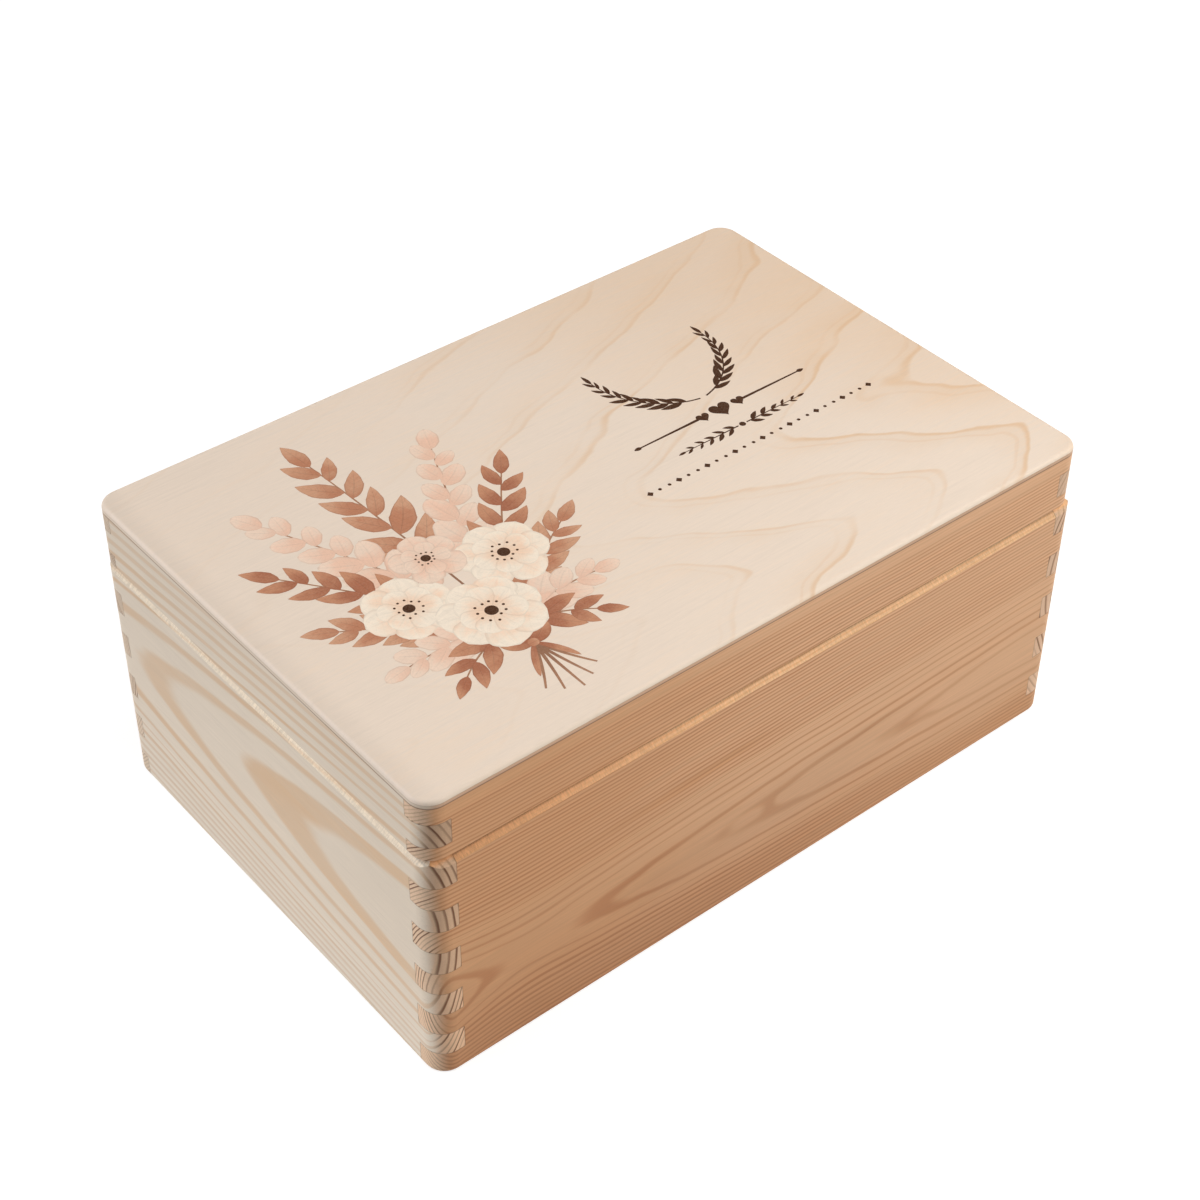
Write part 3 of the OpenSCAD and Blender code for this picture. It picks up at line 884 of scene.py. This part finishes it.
bunch = {
    "knot": (-76.0, -48.0), "tie": (-76.0, -59.5), "spread": 42, "bare": 0.30, "stem": 1.0,
    # stems below and above the tie: their directions, lengths and width
    "tails": (-112, -101, -90, -80, -69), "tailLength": 27.0, "neck": 12, "tailWidth": 1.5,
    # the bow's two ends and two loops: direction, length, width and bend
    "bow": ((232, 17, 2.6, 16), (308, 17, 2.6, -16), (158, 12, 7, -30), (22, 12, 7, 30)),
    "bowKnot": 2.0, "bowLayer": 17,
    # layers of the sprigs and the blossoms: the first one, and from one to the next
    "sprigLayers": (2, 2.6), "blossomLayers": (18.5, 2.4),
}
sprigs = [
    # aim, length, bend, leaf length, slimness, pairs, leaf form, paint
    (90, 116, 4, 24, 0.42, 6, "leaf", "brown"),
    (73, 104, -8, 18, 0.66, 6, "round", "peach"),
    (107, 104, 8, 18, 0.66, 6, "round", "peach"),
    (58, 84, -6, 21, 0.40, 5, "leaf", "rust"),
    (122, 84, 6, 21, 0.40, 5, "leaf", "rust"),
    (40, 58, -10, 19, 0.44, 4, "leaf", "brown"),
    (140, 58, 10, 19, 0.44, 4, "leaf", "brown"),
    (18, 40, -24, 15, 0.62, 3, "round", "peach"),
    (162, 40, 24, 15, 0.62, 3, "round", "peach"),
    (-8, 30, -30, 16, 0.42, 2, "leaf", "rust"),
    (188, 30, 30, 16, 0.42, 2, "leaf", "rust"),
]
blossoms = [
    # centre, radius, petals, turn, paint
    ((-98, -20), 17, 6, 10, "cream"),
    ((-55, -16), 18, 6, 40, "cream"),
    ((-77, -38), 19, 7, 0, "cream"),
    ((-78, -2), 14, 5, 20, "peach"),
]

luck = random.Random(11)
films = {paint: startInk() for paint in paints}
stems = startInk()
centres = startInk()
for tail, aim in enumerate(bunch["tails"]):
    off, layer = tail - 2, 1 + tail * 0.1
    addBlade(stems, "stem", bunch["tie"], aim, bunch["tailLength"] - 2 * abs(off),
             bunch["tailWidth"], 6 * off, layer)
    addBlade(stems, "stem", bunch["tie"], aim + 180, bunch["neck"], bunch["tailWidth"], 0, layer)
for aim, length, width, bend in bunch["bow"]:
    addBlade(films["rust"], "round", bunch["tie"], aim, length, width, bend, bunch["bowLayer"])
addDisc(films["brown"], bunch["tie"], bunch["bowKnot"], bunch["bowLayer"] + 1)
first, step = bunch["sprigLayers"]
for order, (aim, length, bend, leaf, slim, pairs, kind, paint) in enumerate(sprigs):
    sprig = {"root": bunch["knot"], "aim": aim, "length": length, "bend": bend, "leaf": leaf,
             "slim": slim, "pairs": pairs, "kind": kind, "spread": bunch["spread"],
             "bare": bunch["bare"], "stem": bunch["stem"]}
    addSprig(films[paint], stems, sprig, first + step * ((order + 1) // 2), luck)
first, step = bunch["blossomLayers"]
for order, (centre, radius, petals, turn, paint) in enumerate(blossoms):
    addBlossom(films[paint], centres, centre, radius, petals, turn, first + step * order, luck)

paintMaterials = {paint: inkMaterial("paint_" + paint, *look) for paint, look in paints.items()}
stemMaterial = inkMaterial("paint_stems", *stemPaint)
darkMaterial = inkMaterial("ink_dark", *darkInk)
closeInk(stems, "print_stems", stemMaterial)
for paint, bm in films.items():
    closeInk(bm, "print_leaves_" + paint, paintMaterials[paint])
closeInk(centres, "print_blossom_centres", darkMaterial)
print("painted bunch finished")


ornament = {
    "middle": 59.4, "height": 0.2,
    # the line with its arrowheads: from where to where on both sides, and its width
    "gap": 11.0, "reach": 41.8, "lineWidth": 1.25, "headBack": 3.2, "head": (3.4, 1.9),
    "heart": 9.0, "smallHeart": 5.6, "heartStep": 8.6,
    # the row of dots, with a diamond in every third place
    "dotsY": -23.0, "dotsEachSide": 12, "dotStep": 4.5, "dot": 0.7, "diamond": 1.4,
    "vineCentre": 1.3,
}
laurel = {
    # the foot's distance from the middle and its height, and how far the aim leans outwards
    "out": 1.5, "height": 10.0, "lean": 78, "length": 46, "bend": 80,
    "leaf": 9.0, "slim": 0.27, "pairs": 8, "kind": "leaf", "spread": 34, "bare": 0.12, "stem": 0.7,
}
vine = {
    "out": 2.0, "height": -12.0, "lean": 90, "length": 26, "bend": 0,
    "leaf": 5.2, "slim": 0.34, "pairs": 5, "kind": "leaf", "spread": 40, "bare": 0.05, "stem": 0.6,
}


def addHeart(bm, centre, width, layer):
    # the heart curve that is 32 wide in its own units
    made = bmesh.ops.create_circle(bm, cap_ends=True, segments=48, radius=1, calc_uvs=True)
    level = ink["base"] + layer * ink["layer"]
    for vert in made["verts"]:
        angle = math.atan2(vert.co.x, vert.co.y)
        aside = 16 * math.sin(angle) ** 3
        high = (13 * math.cos(angle) - 5 * math.cos(2 * angle) - 2 * math.cos(3 * angle)
                - math.cos(4 * angle))
        vert.co = (centre[0] + aside * width / 32, centre[1] + high * width / 32, level)


lineWork = startInk()
middle, height = ornament["middle"], ornament["height"]
for side, aim in ((-1, 180), (1, 0)):
    start = (middle + side * ornament["gap"], height)
    addBlade(lineWork, "stem", start, aim, ornament["reach"] - ornament["gap"],
             ornament["lineWidth"], 0, 1)
    head = (middle + side * ornament["reach"] - ornament["headBack"] * side, height)
    addBlade(lineWork, "leaf", head, aim, *ornament["head"], 0, 2)
    addHeart(lineWork, (middle + side * ornament["heartStep"], height), ornament["smallHeart"], 3)
addHeart(lineWork, (middle, height), ornament["heart"], 4)
for side in (-1, 1):
    for form in (laurel, vine):
        sprig = dict(form, root=(middle + side * form["out"], form["height"]),
                     aim=90 - side * form["lean"], bend=side * form["bend"])
        addSprig(lineWork, lineWork, sprig, 5 + side, luck)
addDisc(lineWork, (middle, vine["height"]), ornament["vineCentre"], 2)
for index in range(-ornament["dotsEachSide"], ornament["dotsEachSide"] + 1):
    radius, points = (ornament["dot"], 16) if index % 3 else (ornament["diamond"], 4)
    addDisc(lineWork, (middle + index * ornament["dotStep"], ornament["dotsY"]), radius, 2, points)
closeInk(lineWork, "print_line_work", darkMaterial)
print("line work finished")


studio = {
    # the floor glows more further out, where lamps and sky light it less
    "floorSize": 8, "floor": 0.50, "floorGlow": 0.72, "glowFrom": (0.5, 2.5),
    "ambient": 0.18, "target": (0, 0, 0.06),
    "lamps": {
        "key": {"place": (0.36, -0.52, 1.00), "size": 1.2, "power": 6.35,
                "colour": (1.0, 0.985, 0.965)},
        "side": {"place": (-1.25, 0.75, 0.80), "size": 1.2, "power": 19.8,
                 "colour": (0.98, 0.98, 1.0)},
        "front": {"place": (1.00, -1.10, 0.60), "size": 1.0, "power": 10.4,
                  "colour": (1.0, 0.95, 0.86)},
    },
}


def cameraOrMirror():
    # 1 for what the camera or a shiny surface sees, 0 for light that falls on the object
    path = add("ShaderNodeLightPath")
    seen = calc("MAXIMUM", path.outputs["Is Camera Ray"], path.outputs["Is Glossy Ray"])
    return calc("MAXIMUM", seen, path.outputs["Is Transmission Ray"])


def makeFloor():
    material = startTree(bpy.data.materials.new("floor"))
    grey = feed(add("ShaderNodeBsdfDiffuse"), {"Color": (studio["floor"],) * 3 + (1,)})
    far = add("ShaderNodeVectorMath")
    far.operation = "LENGTH"
    feed(far, {0: add("ShaderNodeTexCoord").outputs["Object"]})
    level = ramp(far.outputs["Value"], *studio["glowFrom"], studio["floorGlow"], 1)
    glow = feed(add("ShaderNodeEmission"), {"Strength": product(cameraOrMirror(), level)})
    both = feed(add("ShaderNodeAddShader"), {0: grey, 1: glow})
    feed(add("ShaderNodeOutputMaterial"), {"Surface": both})
    bm = bmesh.new()
    bmesh.ops.create_grid(bm, x_segments=1, y_segments=1, size=studio["floorSize"])
    floor = makeObject("floor", bm, material)


def makeWorld():
    # a weak even light on the object, and white behind it
    world = startTree(bpy.data.worlds.new("studio"))
    strength = between(cameraOrMirror(), studio["ambient"], 1)
    sky = feed(add("ShaderNodeBackground"), {"Strength": strength})
    feed(add("ShaderNodeOutputWorld"), {"Surface": sky})
    bpy.context.scene.world = world


def makeLamp(name, lamp):
    data = bpy.data.lights.new(name, "AREA")
    data.shape = "DISK"
    data.size = lamp["size"]
    data.energy = lamp["power"]
    data.color = lamp["colour"]
    light = addObject(name, data)
    light.location = lamp["place"]
    light.visible_camera = False
    light.rotation_mode = "QUATERNION"
    aim = Vector(studio["target"]) - Vector(lamp["place"])
    light.rotation_quaternion = aim.to_track_quat("-Z", "Y")


makeFloor()
makeWorld()
for lampName, lamp in studio["lamps"].items():
    makeLamp(lampName, lamp)
bpy.context.scene.view_settings.view_transform = "Standard"
print("studio finished")
